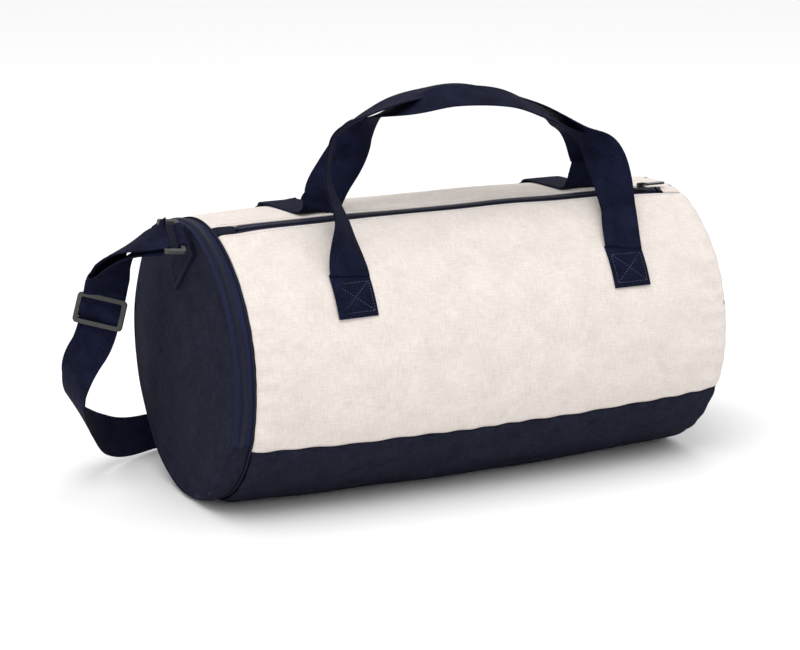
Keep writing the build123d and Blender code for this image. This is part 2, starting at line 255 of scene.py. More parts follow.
def plastic(name, colour, roughness, grain):
    """Moulded plastic with a fine spark texture and faint handling marks."""
    shader = Shader(name, Roughness=roughness)
    spark = object_noise(shader, grain)
    marks = object_noise(shader, 60.0)
    shader.colour(shader.ramp(marks, 0.3, 0.7, tuple(0.86 * c for c in colour), colour))
    rough = shader.add("MapRange", {0: marks, 1: 0.3, 2: 0.7, 3: roughness - 0.06, 4: roughness + 0.08})
    shader.tree.links.new(rough.outputs[0], shader.out.inputs["Roughness"])
    shader.bump(spark, 0.00008, 0.5)
    return shader.material


def painted_metal(name, colour):
    """Lacquered die-cast zip metal, a little uneven."""
    shader = Shader(name, Roughness=0.32, Metallic=1.0, Coat_Weight=0.4)
    marks = object_noise(shader, 300.0)
    shader.colour(shader.ramp(marks, 0.35, 0.7, tuple(0.7 * c for c in colour), colour))
    rough = shader.add("MapRange", {0: marks, 1: 0.3, 2: 0.7, 3: 0.24, 4: 0.42})
    shader.tree.links.new(rough.outputs[0], shader.out.inputs["Roughness"])
    shader.bump(object_noise(shader, 900.0), 0.00006, 0.4)
    return shader.material


cream = canvas("cream canvas", (0.81, 0.745, 0.698), (0.63, 0.570, 0.526), (0.50, 0.42, 0.35))
navy = canvas("navy canvas", (0.0215, 0.0235, 0.0400), (0.0070, 0.0080, 0.0160), (0.040, 0.043, 0.062))
band_navy = webbing_cloth("navy webbing", (0.0095, 0.0118, 0.0350), (0.0001, 0.0003, 0.0030))
tape_navy = tape_cloth("zip tape", (0.0200, 0.0240, 0.060), (0.0080, 0.0095, 0.0270))
coil_navy = plastic("zip coil", (0.012, 0.014, 0.032), 0.4, 2500.0)
grey_plastic = plastic("grey plastic", (0.030, 0.031, 0.029), 0.42, 1400.0)
zip_metal = painted_metal("zip metal", (0.022, 0.022, 0.026))
pale_thread = thread("pale thread", (0.095, 0.11, 0.17))
grey_thread = thread("grey thread", (0.55, 0.56, 0.62))
navy_thread = thread("navy thread", (0.035, 0.038, 0.07))


# ---- mesh helpers ----
def add_mesh(name, points, faces, material, cloth=None):
    mesh = bpy.data.meshes.new(name)
    mesh.from_pydata([tuple(p) for p in points], [], faces)
    mesh.materials.append(material)
    mesh.polygons.foreach_set("use_smooth", [True] * len(mesh.polygons))
    if cloth is not None:
        layer = mesh.attributes.new("cloth", "FLOAT_VECTOR", "POINT")
        layer.data.foreach_set("vector", np.asarray(cloth, np.float32).ravel())
    mesh.validate()
    mesh.update()
    obj = bpy.data.objects.new(name, mesh)
    bpy.context.scene.collection.objects.link(obj)
    return obj


def unit(vectors):
    vectors = np.asarray(vectors, float)
    return vectors / np.maximum(np.linalg.norm(vectors, axis=-1, keepdims=True), 1e-12)


def run_lengths(points):
    """Distance along a line of points, from its first point to each."""
    return np.concatenate([[0], np.cumsum(np.linalg.norm(np.diff(points, axis=0), axis=-1))])


def at_length(length, lengths, rows):
    """The row of three values at a length along a line."""
    return np.array([np.interp(length, lengths, rows[:, k]) for k in range(3)])


def grid_normals(points):
    """Unit normals of a grid of points, first index crossed with the second."""
    return unit(np.cross(np.gradient(points, axis=0), np.gradient(points, axis=1)))


def sheet_mesh(name, points, thick, material, flip=False):
    """Thin closed sheet: points is a grid of its outer face, thick metres over its inner face."""
    rows, cols = points.shape[:2]
    normals = grid_normals(points) * (-1 if flip else 1)
    inner = points - normals * thick
    u = run_lengths(points[:, cols // 2])
    v = run_lengths(points[rows // 2])
    uu, vv = np.meshgrid(u, v, indexing="ij")
    cloth = np.stack([uu, vv, 0 * uu], -1).reshape(-1, 3)
    index = np.arange(rows * cols).reshape(rows, cols)
    a, b = index[:-1, :-1].ravel(), index[1:, :-1].ravel()
    c, d = index[1:, 1:].ravel(), index[:-1, 1:].ravel()
    under = rows * cols
    outer_faces = np.stack([a, b, c, d], -1)
    inner_faces = np.stack([d, c, b, a], -1) + under
    rim = np.concatenate([index[:-1, 0], index[-1, :-1], index[:0:-1, -1], index[0, :0:-1]])
    after = np.roll(rim, -1)
    rim_faces = np.stack([after, rim, rim + under, after + under], -1)
    faces = np.concatenate([outer_faces, inner_faces, rim_faces])
    if flip:
        faces = faces[:, ::-1]
    every = np.concatenate([points.reshape(-1, 3), inner.reshape(-1, 3)])
    return add_mesh(name, every, faces.tolist(), material, np.concatenate([cloth, cloth]))


def ribbon(name, centres, widths, material, width=webbing, thick=webbing_thick, body=None):
    """Woven band along centres, with rounded selvedges. widths are its directions across."""
    centres = np.asarray(centres, float)
    along = unit(np.gradient(centres, axis=0))
    widths = np.asarray(widths, float)
    widths = unit(widths - along * np.sum(widths * along, -1, keepdims=True))
    normals = np.cross(along, widths)
    half, edge = width / 2, thick / 2
    across = [-half + 0.35 * edge, -half + edge, -half + 3 * edge]
    across += list(np.linspace(-half + 6 * edge, half - 6 * edge, 7))
    across += [half - 3 * edge, half - edge, half - 0.35 * edge]
    rise = [0.55, 0.92, 0.86] + [1.0] * 7 + [0.86, 0.92, 0.55]
    profile = [(-half, 0.0)] + [(s, edge * r) for s, r in zip(across, rise)] + [(half, 0.0)]
    profile += [(s, -edge * r) for s, r in zip(across[::-1], rise[::-1])]
    count, ring = len(centres), len(profile)
    length = run_lengths(centres)
    points, cloth = [], []
    for s, h in profile:
        points.append(centres + widths * s + normals * h)
        cloth.append(np.stack([np.full(count, s), length, np.zeros(count)], -1))
    points = np.stack(points, 1).reshape(-1, 3)
    cloth = np.stack(cloth, 1).reshape(-1, 3)
    faces = []
    for i in range(count - 1):
        for j in range(ring):
            k = (j + 1) % ring
            faces.append((i * ring + j, i * ring + k, (i + 1) * ring + k, (i + 1) * ring + j))
    faces.append(tuple(range(ring))[::-1])
    faces.append(tuple((count - 1) * ring + j for j in range(ring)))
    obj = add_mesh(name, points, faces, material, cloth)
    if body:
        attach(obj, body)
    return obj


def stitches(name, path, normals, material, pitch=0.0032, gap=0.0011, radius=0.00026, lift=0.0002):
    """Row of thread stitches along path, which is densely sampled, lying on the cloth."""
    path = np.asarray(path, float)
    normals = unit(normals)
    place = run_lengths(path)
    count = max(1, int(place[-1] / pitch))
    spare = (place[-1] - count * pitch) / 2
    points, faces = [], []
    sides, stations = 6, 5
    small = 1e-4
    for n in range(count):
        start = spare + n * pitch + gap / 2
        base = len(points)
        for i in range(stations):
            share = i / (stations - 1)
            s = start + share * (pitch - gap)
            mid = at_length(s, place, path)
            out = unit(at_length(s, place, normals))
            ahead = at_length(s + small, place, path)
            behind = at_length(s - small, place, path)
            side = unit(np.cross(ahead - behind, out))
            bulge = math.sin(math.pi * (0.12 + 0.76 * share))
            mid = mid + out * (lift + radius * (1.6 * bulge - 1.2))
            for j in range(sides):
                turn = 2 * math.pi * j / sides
                points.append(mid + radius * bulge * (math.cos(turn) * side + math.sin(turn) * out))
        for i in range(stations - 1):
            for j in range(sides):
                k = (j + 1) % sides
                low, high = base + i * sides, base + (i + 1) * sides
                faces.append((low + j, high + j, high + k, low + k))
        faces.append(tuple(base + j for j in range(sides)))
        faces.append(tuple(base + (stations - 1) * sides + j for j in range(sides))[::-1])
    return add_mesh(name, points, faces, material)


def smooth_step(value, low, high):
    share = np.clip((value - low) / (high - low), 0, 1)
    return share * share * (3 - 2 * share)


def smooth_path(points, steps=12):
    """Dense smooth curve through points (rows of any number of values)."""
    points = np.asarray(points, float)
    padded = np.concatenate([[2 * points[0] - points[1]], points, [2 * points[-1] - points[-2]]])
    out = []
    for i in range(len(points) - 1):
        a, b, c, d = padded[i:i + 4]
        for t in np.arange(steps) / steps:
            out.append(0.5 * (2 * b + (c - a) * t + (2 * a - 5 * b + 4 * c - d) * t ** 2
                              + (3 * b - a - 3 * c + d) * t ** 3))
    out.append(points[-1])
    return np.array(out)


# ---- the bag's surface ----
def body_radius(x):
    return body_r_end + (body_r_mid - body_r_end) * (1 - (x / right_x) ** 2)


def ripple(x, deg, seed):
    """Soft uneven waves of the cloth, about one high, from a few long sine waves."""
    draw = np.random.default_rng(seed)
    total = 0.0
    arc = np.radians(deg) * end_r
    for _ in range(7):
        heading = draw.uniform(0, math.pi)
        wave = draw.uniform(0.07, 0.22)
        shift = draw.uniform(0, 2 * math.pi)
        total = total + np.sin(2 * math.pi * (x * math.cos(heading) + arc * math.sin(heading)) / wave + shift)
    return total / 7


def zip_line(x):
    """The main zip's place across the bag. It bears off a little where it meets the end pocket."""
    return zip_y + 0.004 * smooth_step(-x, 0.205, 0.236)


def barrel(x, deg, lift=0.0):
    """Points on the bag's outer cloth, lift metres off it."""
    x, deg = np.broadcast_arrays(np.asarray(x, float), np.asarray(deg, float))
    turn = np.radians(deg)
    arc = np.radians(deg) * end_r
    from_left = x - body_x
    from_right = right_x - x
    radius = body_radius(x)
    # drawn in at both end seams, softly uneven between them
    radius = radius - 0.0022 * np.exp(-(from_left / 0.004) ** 2) - 0.0028 * np.exp(-from_right / 0.005)
    radius = radius + 0.0016 * ripple(x, deg, 3)
    # puckers beside the end seams
    pucker = np.sin(2 * math.pi * arc / 0.019 + 3 * np.sin(arc / 0.03))
    radius = radius + 0.0007 * pucker * np.exp(-((from_left - 0.012) / 0.012) ** 2)
    radius = radius + 0.0009 * pucker * np.exp(-((from_right - 0.014) / 0.016) ** 2)
    # each long seam lies in a groove, with gathers beside it
    for seam_deg in (seam_front_deg, seam_rear_deg + 360, seam_rear_deg):
        away = np.radians(deg - seam_deg) * body_r_mid
        radius = radius - 0.0017 * np.exp(-(away / 0.0022) ** 2)
        gather = np.sin(2 * math.pi * x / 0.031 + 2 * np.sin(x / 0.04))
        radius = radius + 0.0006 * gather * np.exp(-(away / 0.018) ** 2)
    y = -radius * np.sin(turn)
    z = axis_z + radius * np.cos(turn)
    # the crown sags a little under the zip, and the underside is flat where it stands
    soft = 0.0045
    sag = 0.0016 * np.exp(-((x + 0.02) / 0.05) ** 2) + 0.0012 * ripple(x, deg, 11)
    top = crown_z + 0.0022 - sag
    z = np.where(z > axis_z, -soft * np.logaddexp(-z / soft, -top / soft), z)
    floor = 0.0005
    hard = 0.0035
    z = np.where(z < axis_z, hard * np.logaddexp(z / hard, floor / hard) - 0.0024, z)
    z = np.maximum(z, 0.0004)
    points = np.stack([x + 0 * z, y, z], -1)
    if lift:
        points = points + lift * barrel_out(x, deg)
    return points


def barrel_out(x, deg):
    """Unit outward normals of the bag's cloth."""
    small_x, small_deg = 0.0008, 0.4
    along = barrel(x + small_x, deg) - barrel(x - small_x, deg)
    round_it = barrel(x, deg + small_deg) - barrel(x, deg - small_deg)
    return unit(np.cross(along, round_it)) * -1


def zip_deg(x, side):
    """Angle at which the cream cloth ends beside the main zip, on the front (1) or rear (-1)."""
    edge_y = zip_line(x) - side * (slot_width / 2 + zip_margin[side])
    low = np.full_like(x, -10.0)
    high = np.full_like(x, 60.0)
    for _ in range(26):
        mid = (low + high) / 2
        too_far = -barrel(x, mid)[..., 1] > -edge_y
        high = np.where(too_far, mid, high)
        low = np.where(too_far, low, mid)
    return (low + high) / 2


def body_panel(name, deg_from, deg_to, material, nodes, x_count=150, deg_count=110):
    """One cloth panel of the barrel, between two edges given as angles or functions of x."""
    x_low, x_high = body_x + 0.0004, right_x - 0.0012
    xs = x_low + (x_high - x_low) * np.linspace(0, 1, x_count)
    xs = np.concatenate([x_low + np.array([0, 0.0015, 0.003, 0.0045]), xs[3:-4],
                         x_high - np.array([0.008, 0.0055, 0.0035, 0.0018, 0.0])])
    start = deg_from(xs) if callable(deg_from) else np.full_like(xs, deg_from)
    end = deg_to(xs) if callable(deg_to) else np.full_like(xs, deg_to)
    share = np.linspace(0, 1, deg_count)
    share = share - 0.035 * np.sin(2 * math.pi * share)
    degs = start[:, None] + (end - start)[:, None] * share[None, :]
    points = barrel(xs[:, None], degs)
    panel = sheet_mesh(name, points, canvas_thick, material, flip=True)
    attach(panel, "bag")
    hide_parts(*nodes)
    return panel


front_cloth = body_panel("front_cloth", lambda x: zip_deg(x, 1), seam_front_deg, cream, ["front_panel"])
rear_cloth = body_panel("rear_cloth", seam_rear_deg, lambda x: zip_deg(x, -1), cream, ["rear_panel"])
base_cloth = body_panel("base_cloth", seam_front_deg, seam_rear_deg + 360, navy, ["base_panel"])


# ---- round end panels ----
def end_point(side, radius, deg, lift=0.0):
    """Point on a round end panel, domed and softly dented. side is -1 at the zipped end."""
    radius, deg = np.broadcast_arrays(np.asarray(radius, float), np.asarray(deg, float))
    full = end_r if side < 0 else body_r_end
    turn = np.radians(deg)
    y = -radius * np.sin(turn)
    z = axis_z + radius * np.cos(turn)
    share = radius / full
    dome = 0.0055 * (1 - share ** 2)
    roll = -0.0045 * np.clip((radius - (full - 0.006)) / 0.006, 0, 1) ** 2
    dent = 0.0
    draw = np.random.default_rng(23 if side < 0 else 29)
    for _ in range(6):
        heading = draw.uniform(-0.5, 0.9)
        wave = draw.uniform(0.07, 0.16)
        shift = draw.uniform(0, 2 * math.pi)
        dent = dent + np.sin(2 * math.pi * (y * math.cos(heading) + z * math.sin(heading)) / wave + shift)
    dent = dent / 6 * 0.0028 * (1 - share ** 4)
    gather = np.sin(math.radians(1) * deg * 21 + 2 * np.sin(turn * 4))
    dent = dent + 0.0006 * gather * np.exp(-((share - 0.93) / 0.06) ** 2)
    crease = np.clip((0.055 - z) / 0.055, 0, 1)
    dent = dent + 0.0022 * crease * np.sin(2 * math.pi * (z - 0.35 * y) / 0.024)
    base_x = left_x if side < 0 else right_x
    x = base_x + side * (dome + roll + dent + lift - 0.0008)
    if side > 0:
        z = np.minimum(z, crown_z - 0.002 + 0.2 * (z - crown_z) * (z > crown_z))
    z = np.maximum(z, 0.0006)
    return np.stack([x, y, z], -1)


right_rim_inset = 0.0032      # the right end's rim is tucked in under the barrel's edge


def end_cloth(name, side, node):
    """Round end panel with its turned rim. side is -1 at the zipped end."""
    full = end_r if side < 0 else body_r_end - right_rim_inset
    radii = full * np.sqrt(np.linspace(0.0004, 1, 46))
    radii[-6:] = full - np.array([0.006, 0.0042, 0.0028, 0.0016, 0.0006, -0.0004])
    degs = np.linspace(0, 360, 145)
    points = end_point(side, radii[:, None], degs[None, :])
    cloth = np.stack([points[..., 1], points[..., 2], 0 * points[..., 0]], -1)
    rows, cols = points.shape[:2]
    outer = points[:, :-1].reshape(-1, 3)
    inner = outer - np.array([side * canvas_thick, 0, 0])
    ring = cols - 1
    faces = []
    under = rows * ring
    for i in range(rows - 1):
        for j in range(ring):
            k = (j + 1) % ring
            quad = (i * ring + j, i * ring + k, (i + 1) * ring + k, (i + 1) * ring + j)
            faces.append(quad if side < 0 else quad[::-1])
            back = tuple(q + under for q in quad)
            faces.append(back[::-1] if side < 0 else back)
    hub = tuple(range(ring))
    faces.append(hub[::-1] if side < 0 else hub)
    faces.append(tuple(q + under for q in (hub if side < 0 else hub[::-1])))
    last = (rows - 1) * ring
    for j in range(ring):
        k = (j + 1) % ring
        quad = (last + j, last + k, last + k + under, last + j + under)
        faces.append(quad if side < 0 else quad[::-1])
    cloth = cloth[:, :-1].reshape(-1, 3)
    panel = add_mesh(name, np.concatenate([outer, inner]), faces, navy, np.concatenate([cloth, cloth]))
    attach(panel, "bag")
    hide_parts(node)
    return panel


left_cloth = end_cloth("left_end_cloth", -1, "left_end_panel")
right_cloth = end_cloth("right_end_cloth", 1, "right_end_panel")


# ---- end pocket's gusset: zip tapes over the top, canvas below ----
gusset_low = left_x + 0.0012
gusset_high = body_x - 0.0006
coil_x = (end_coil_low[0] + end_coil_high[0]) / 2


def gusset_point(x, deg, lift=0.0):
    """Point on the gusset, which lies a little inside the two cloths that it joins."""
    x, deg = np.broadcast_arrays(np.asarray(x, float), np.asarray(deg, float))
    turn = np.radians(deg)
    middle = 1 - ((x - coil_x) / ((gusset_high - gusset_low) / 2)) ** 2
    radius = end_r - 0.0012 + 0.0010 * np.clip(middle, 0, 1) + 0.0007 * ripple(x, deg * 1.6, 31) + lift
    y = -radius * np.sin(turn)
    z = np.maximum(axis_z + radius * np.cos(turn), 0.0005)
    wander = 0.0008 * np.sin(turn * 5.0) + 0.0006 * np.sin(turn * 11.0 + 1.0)
    return np.stack([x + wander * np.clip(middle + 0.3, 0, 1), y, z], -1)


def gusset_band(name, stations, deg_from, deg_to, material, node):
    """A stretch of gusset. stations are (x, lift) across it."""
    degs = np.linspace(deg_from, deg_to, max(60, int(abs(deg_to - deg_from) * 1.2)))
    rows = [gusset_point(x, degs, lift) for x, lift in stations]
    band = sheet_mesh(name, np.stack(rows), 0.0009, material, flip=True)
    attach(band, "bag")
    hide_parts(node)
    return band


def tape_stations(outer_x, coil_side_x):
    """A flat zip tape, folded back under itself beside the coil."""
    span = coil_side_x - outer_x
    flat = [(outer_x + span * share, 0.0004) for share in (0.0, 0.2, 0.4, 0.6, 0.8)]
    fold = [(outer_x + span * 0.93, 0.0005), (coil_side_x, -0.0002), (coil_side_x + span * 0.04, -0.001)]
    return flat + fold


coil_half = 0.0011
gusset_lap_deg = 2.2          # the canvas gusset laps over both ends of the zip tapes
outer_stations = tape_stations(gusset_low, coil_x - coil_half)
inner_stations = tape_stations(gusset_high, coil_x + coil_half)[::-1]
canvas_stations = [
    (gusset_low, 0.0), (gusset_low + 0.003, 0.0012), (gusset_low + 0.007, 0.0016), (coil_x, 0.0017),
    (gusset_high - 0.007, 0.0016), (gusset_high - 0.003, 0.0012), (gusset_high, 0.0),
]
gusset_band("end_tape_outer", outer_stations, seam_rear_deg, seam_front_deg, tape_navy, "end_zip_tape_outer")
gusset_band("end_tape_inner", inner_stations, seam_rear_deg, seam_front_deg, tape_navy, "end_zip_tape_inner")
gusset_band("end_gusset_cloth", canvas_stations, seam_front_deg - gusset_lap_deg,
            seam_rear_deg + 360 + gusset_lap_deg, navy, "end_gusset_lower")


# ---- zip coils ----
def coil_teeth(name, mids, ups, width, pitch, material):
    """Two rows of meshed nylon loops along mids, standing towards ups."""
    mids = np.asarray(mids, float)
    ups = unit(ups)
    place = run_lengths(mids)
    count = int(place[-1] / pitch)
    points, faces = [], []
    shape = ((0.0, 0.30), (0.35, 0.62), (0.75, 0.62), (1.05, 0.15), (1.05, -0.45))
    sides = 5
    wire = pitch * 0.40
    for n in range(2 * count):
        s = (n + 0.5) * pitch / 2
        side_sign = 1 if n % 2 else -1
        mid = at_length(s, place, mids)
        along = unit(at_length(s + pitch, place, mids) - at_length(s - pitch, place, mids))
        up = unit(at_length(s, place, ups))
        across = np.cross(along, up) * side_sign
        base = len(points)
        spine = [mid + across * (-0.12 + a) * width / 2 + up * h * width / 2 for a, h in shape]
        for i, here in enumerate(spine):
            run = unit(spine[min(i + 1, len(spine) - 1)] - spine[max(i - 1, 0)])
            other = np.cross(run, along)
            thin = wire * (0.8 if i in (0, len(spine) - 1) else 1.0)
            for j in range(sides):
                turn = 2 * math.pi * j / sides
                points.append(here + thin * (math.cos(turn) * along * 0.62 + math.sin(turn) * other))
        for i in range(len(spine) - 1):
            for j in range(sides):
                k = (j + 1) % sides
                low, high = base + i * sides, base + (i + 1) * sides
                faces.append((low + j, low + k, high + k, high + j))
        faces.append(tuple(base + j for j in range(sides))[::-1])
        faces.append(tuple(base + (len(spine) - 1) * sides + j for j in range(sides)))
    coil = add_mesh(name, points, faces, material)
    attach(coil, "bag")
    return coil


coil_degs = np.linspace(seam_rear_deg + 0.5, seam_front_deg - 0.5, 240)
end_mids = gusset_point(coil_x, coil_degs, -0.0004)
end_ups = end_mids - np.stack([end_mids[:, 0], 0 * coil_degs, 0 * coil_degs + axis_z], -1)
coil_pitch = 0.0019
end_coil = coil_teeth("end_coil_teeth", end_mids, end_ups, 0.0036, coil_pitch, coil_navy)
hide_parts("end_zip_coil")

zip_xs = np.linspace(zip_low[0], zip_high[0], 180)


def zip_surface(x, offset, drop):
    """Point beside the main zip's line: offset across it, drop below the cream cloth's edge."""
    x = np.asarray(x, float)
    y = zip_line(x) + offset
    front = barrel(x, zip_deg(x, 1))
    rear = barrel(x, zip_deg(x, -1))
    share = np.clip((y - front[..., 1]) / (rear[..., 1] - front[..., 1]), 0, 1)
    z = front[..., 2] * (1 - share) + rear[..., 2] * share - drop
    return np.stack([x, y, z], -1)


main_mids = zip_surface(zip_xs, 0.0, 0.0012)
main_ups = np.tile([0.0, 0.0, 1.0], (len(zip_xs), 1))
main_coil = coil_teeth("main_coil_teeth", main_mids, main_ups, 0.0042, coil_pitch, coil_navy)
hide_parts("main_zip_coil")

# across each tape: distance from the coil's middle, and drop below the cream cloth's edge
tape_across = ((0.0021, 0.0032), (0.0026, 0.0012), (0.0036, 0.0009), (0.0060, 0.0009), (0.0095, 0.0012),
               (0.0140, 0.0028))
tape_xs = np.linspace(body_x + 0.0015, right_x - 0.006, 170)
for side, node in ((-1, "main_zip_tape_front"), (1, "main_zip_tape_rear")):
    rows = [zip_surface(tape_xs, side * offset, drop) for offset, drop in tape_across]
    main_tape = sheet_mesh(node.replace("main_zip", "main") + "_cloth", np.stack(rows), 0.0006, tape_navy,
                           flip=side > 0)
    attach(main_tape, "bag")
    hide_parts(node)

# ---- cloth tabs over the two ends of the main zip ----
tab_across = ((-0.0074, 0.0013), (-0.006, 0.0002), (-0.003, -0.0004), (0.0, -0.0006), (0.003, -0.0004),
              (0.006, 0.0002), (0.0074, 0.0013))
for node, material, slot in (("zip_tab_left", navy, "navy_canvas"), ("zip_tab_right", cream, "cream_canvas")):
    low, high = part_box(node)
    inside = high[0] if low[0] < 0 else low[0]
    outside = low[0] if low[0] < 0 else high[0] - 0.001
    xs = np.linspace(outside, inside, 26)
    rows = [zip_surface(xs, offset, drop) for offset, drop in tab_across]
    tab = sheet_mesh(node + "_cloth", np.stack(rows), 0.0011, material, flip=outside > 0)
    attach(tab, "bag")
    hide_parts(node)
    edge_x = inside - 0.002 * np.sign(inside)
    seam = [zip_surface(np.array([edge_x]), o, -0.0006)[0] for o in np.linspace(-0.0058, 0.0058, 20)]
    seam_thread = stitches(node + "_stitches", seam, np.tile([0, 0, 1.0], (20, 1)),
                           navy_thread if material is navy else grey_thread, pitch=0.0026)
    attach(seam_thread, "bag")

# ---- topstitching beside the main zip ----
for side in (1, -1):
    xs = np.linspace(body_x + 0.006, right_x - 0.01, 300)
    degs = zip_deg(xs, side) + side * math.degrees(0.0045 / body_r_mid)
    row = stitches("zip_topstitch_front" if side > 0 else "zip_topstitch_rear", barrel(xs, degs),
                   barrel_out(xs, degs), grey_thread, pitch=0.0034, gap=0.0014, radius=0.0003)
    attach(row, "bag")

# ---- handles ----
handle_lift = 0.0026          # the free band starts on top of the sewn end
front_sewn_degs = (50.5,)
front_rise = [
    (-0.130, -0.100, 0.225, 10, 0), (-0.125, -0.080, 0.255, 50, 0), (-0.130, -0.060, 0.290, 60, 0),
    (-0.125, -0.055, 0.320, 55, 0), (-0.110, -0.050, 0.335, 50, 0), (-0.055, -0.025, 0.350, 65, 0),
    (0.000, 0.000, 0.355, 85, 0), (0.050, 0.010, 0.355, 90, 0), (0.100, -0.010, 0.340, 90, 0),
    (0.135, -0.035, 0.315, 100, 0), (0.155, -0.055, 0.290, 140, 0), (0.155, -0.080, 0.250, 180, 0),
    (0.150, -0.095, 0.230, 180, 0),
]
rear_sewn_degs = (-24.5, -19.5)
rear_rise = [
    (-0.125, -0.015, 0.257, 0, 0), (-0.120, -0.020, 0.265, 0, 0), (-0.110, -0.015, 0.280, -10, 0),
    (-0.090, -0.005, 0.300, -5, 0), (-0.070, 0.000, 0.325, 15, 0), (-0.055, -0.010, 0.340, 40, 5),
    (-0.030, -0.035, 0.350, 70, 15), (0.000, -0.045, 0.357, 90, 20), (0.050, -0.050, 0.353, 90, 20),
    (0.090, -0.045, 0.337, 90, 15), (0.120, -0.035, 0.320, 90, 0), (0.145, -0.020, 0.307, 115, 0),
    (0.160, -0.020, 0.285, 160, 0), (0.155, -0.020, 0.268, 180, 0), (0.150, -0.017, 0.258, 180, 0),
    (0.148, -0.005, 0.256, 180, 0),
]


def handle(name, sewn_degs, rise, node):
    """A free webbing handle from its left sewn end to its right one.

    rise are (x, y, z, twist, tilt) points. The band's width lies along X at twist 0, along Y at
    twist 90, and tilt lifts its far edge.
    """
    left = [(leg_x[0], *barrel(leg_x[0], deg, handle_lift)[1:], 0, 0) for deg in sewn_degs]
    right = [(leg_x[1], *barrel(leg_x[1], deg, handle_lift)[1:], 180, 0) for deg in sewn_degs[::-1]]
    dense = smooth_path(left + rise + right, 12)
    twist, tilt = np.radians(dense[:, 3]), np.radians(dense[:, 4])
    widths = np.stack([np.cos(twist) * np.cos(tilt), np.sin(twist) * np.cos(tilt), np.sin(tilt)], -1)
    band = ribbon(name, dense[:, :3], widths, band_navy)
    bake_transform(band)
    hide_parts(node)


hinge_of = {joint["child"]: joint for joint in frame["joints"]}
sewn_start, sewn_end = {}, {}
for node, deg_step in (("front_handle", -6.0), ("rear_handle", 6.0)):
    at = hinge_of[node]["pos_m"]
    deg = math.degrees(math.atan2(-at[1], at[2] - axis_z))
    sewn_start[node] = tuple(barrel(handle_mid_x, deg - deg_step * 0.2, handle_lift))
    sewn_end[node] = tuple(barrel(handle_mid_x, deg + deg_step, handle_lift))

handle("front_handle_band", front_sewn_degs, front_rise, "front_handle")
handle("rear_handle_band", rear_sewn_degs, rear_rise, "rear_handle")


# ---- sewn handle ends with their boxed crosses ----
def sewn_ends(node, deg_free, deg_hem, prefix):
    """The two sewn webbing ends of one handle, each with a stitched box and cross."""
    for side_name, x in zip(("left", "right"), leg_x):
        degs = np.linspace(deg_free, deg_hem, 26)
        lifts = np.full_like(degs, 0.0014)
        lifts[-1] = 0.0011
        centres = np.array([barrel(x, deg, lift) for deg, lift in zip(degs, lifts)])
        end = ribbon(f"{prefix}_{side_name}_end", centres, np.tile([1.0, 0, 0], (len(degs), 1)), band_navy,
                     body="bag")
        inset = webbing / 2 - 0.0035
        step = math.degrees(0.0045 / body_r_mid) * np.sign(deg_hem - deg_free)
        low_deg, high_deg = deg_hem - step, deg_free + 2.2 * step
        corners = [(-inset, low_deg), (inset, low_deg), (inset, high_deg), (-inset, high_deg),
                   (-inset, low_deg), (inset, high_deg)]
        rows = [corners, [(-inset, high_deg), (inset, low_deg)]]
        for number, row in enumerate(rows):
            dense = []
            for (xa, da), (xb, db) in zip(row, row[1:]):
                for share in np.linspace(0, 1, 24):
                    dense.append((x + xa + (xb - xa) * share, da + (db - da) * share))
            dense = np.array(dense)
            path = np.array([barrel(a, b, 0.0024) for a, b in dense])
            out = barrel_out(dense[:, 0], dense[:, 1])
            sewing = stitches(f"{prefix}_{side_name}_box_{number}", path, out, pale_thread, pitch=0.0027,
                              gap=0.0013, radius=0.00026)
            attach(sewing, "bag")
    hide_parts(node)


sewn_ends("front_handle_ends", 49.0, front_patch_deg + patch_arc_deg - 3.0, "front_handle")
sewn_ends("rear_handle_ends", -22.0, -rear_patch_deg - patch_arc_deg, "rear_handle")

# ---- strap ----
ring_bar_dir = (0.16, 0.88, 0.45)
strap_route = [
    (-0.2810, -0.0345, 0.2504), (-0.289, -0.022, 0.247), (-0.297, -0.012, 0.242), (-0.308, 0.003, 0.232),
    (-0.310, 0.019, 0.219), (-0.3052, 0.0329, 0.1974), (-0.3208, 0.0271, 0.1486), (-0.334, 0.033, 0.128),
    (-0.337, 0.046, 0.104), (-0.331, 0.062, 0.080), (-0.311, 0.086, 0.055), (-0.287, 0.110, 0.033),
    (-0.260, 0.130, 0.0215), (-0.226, 0.146, 0.020), (-0.180, 0.160, 0.0205),
    (-0.110, 0.168, 0.0205), (-0.015, 0.171, 0.020), (0.085, 0.167, 0.0205), (0.165, 0.159, 0.020),
    (0.225, 0.146, 0.022), (0.268, 0.124, 0.034), (0.289, 0.097, 0.064), (0.299, 0.070, 0.104),
    (0.304, 0.053, 0.138), (0.304, 0.041, 0.168), (0.297, 0.031, 0.190), (0.2789, 0.025, 0.200),
]
